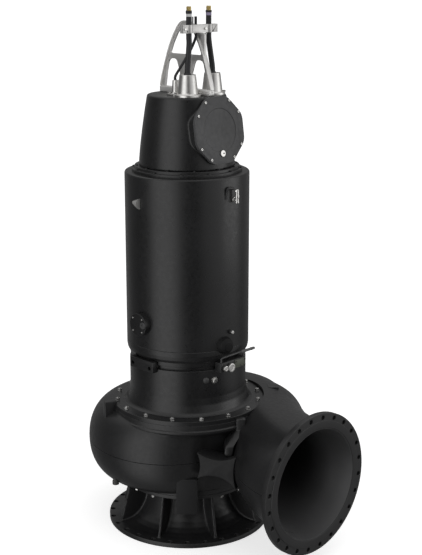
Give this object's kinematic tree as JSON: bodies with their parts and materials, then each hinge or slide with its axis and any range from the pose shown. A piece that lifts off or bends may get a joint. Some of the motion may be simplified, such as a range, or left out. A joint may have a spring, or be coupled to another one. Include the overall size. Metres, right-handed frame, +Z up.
{
  "type": "vertical sewage pump",
  "caption": "Large vertical sewage pump: spiral casing with a side discharge flange on a flanged suction stand, jacketed motor, terminal housing, glands, cable stubs and a lifting bail.",
  "frame": {"origin": "on the floor under the middle of the whole pump; the pump's own centre line is 220 mm towards -X and 142 mm towards -Y from it", "axes": "+Z up along the shaft, +X out of the discharge flange"},
  "size_m": [2.0993, 1.5971, 3.8223],
  "materials": {
    "bearing_housing": "black epoxy paint, satin",
    "cable_clamp": "stainless steel, satin",
    "cable_cores_left": "bare stranded cores",
    "cable_cores_right": "bare stranded cores",
    "cone_lug": "stainless steel, satin",
    "control_cable": "black sheath, satin",
    "control_gland": "stainless steel, satin",
    "cover_plug": "stainless steel, satin",
    "flank_plate": "black epoxy paint, satin",
    "impeller": "cast iron, bare",
    "inspection_cover": "black epoxy paint, satin",
    "jacket_boss": "black epoxy paint, satin",
    "jacket_plug": "stainless steel, satin",
    "lifting_bail": "stainless steel, satin",
    "motor_base": "black epoxy paint, satin",
    "motor_cap": "black epoxy paint, satin",
    "motor_jacket": "black epoxy paint, satin",
    "oil_plug": "stainless steel, satin",
    "power_cable_left": "black sheath, satin",
    "power_cable_right": "black sheath, satin",
    "power_gland_left": "stainless steel, satin",
    "power_gland_right": "stainless steel, satin",
    "seal_ring": "black epoxy paint, satin",
    "suction_cover": "black epoxy paint, satin",
    "suction_stand": "black epoxy paint, satin",
    "terminal_cover": "dark grey epoxy paint, satin",
    "terminal_housing": "black epoxy paint, satin",
    "valve_bar": "black epoxy paint, satin",
    "valve_block": "black epoxy paint, satin",
    "valve_cap_left": "stainless steel, satin",
    "valve_cap_right": "stainless steel, satin",
    "vent_fitting": "stainless steel, satin",
    "volute_casing": "black epoxy paint, satin"
  },
  "bodies": {
    "root": {"bearing_housing": "bearing_housing", "cable_clamp": "cable_clamp", "cable_cores_left": "cable_cores_left", "cable_cores_right": "cable_cores_right", "cone_lug": "cone_lug", "control_cable": "control_cable", "control_gland": "control_gland", "cover_plug": "cover_plug", "flank_plate": "flank_plate", "impeller": "impeller", "inspection_cover": "inspection_cover", "jacket_boss": "jacket_boss", "jacket_plug": "jacket_plug", "lifting_bail": "lifting_bail", "motor_base": "motor_base", "motor_cap": "motor_cap", "motor_jacket": "motor_jacket", "oil_plug": "oil_plug", "power_cable_left": "power_cable_left", "power_cable_right": "power_cable_right", "power_gland_left": "power_gland_left", "power_gland_right": "power_gland_right", "seal_ring": "seal_ring", "suction_cover": "suction_cover", "suction_stand": "suction_stand", "terminal_cover": "terminal_cover", "terminal_housing": "terminal_housing", "valve_bar": "valve_bar", "valve_block": "valve_block", "valve_cap_left": "valve_cap_left", "valve_cap_right": "valve_cap_right", "vent_fitting": "vent_fitting", "volute_casing": "volute_casing"}
  },
  "joints": []
}
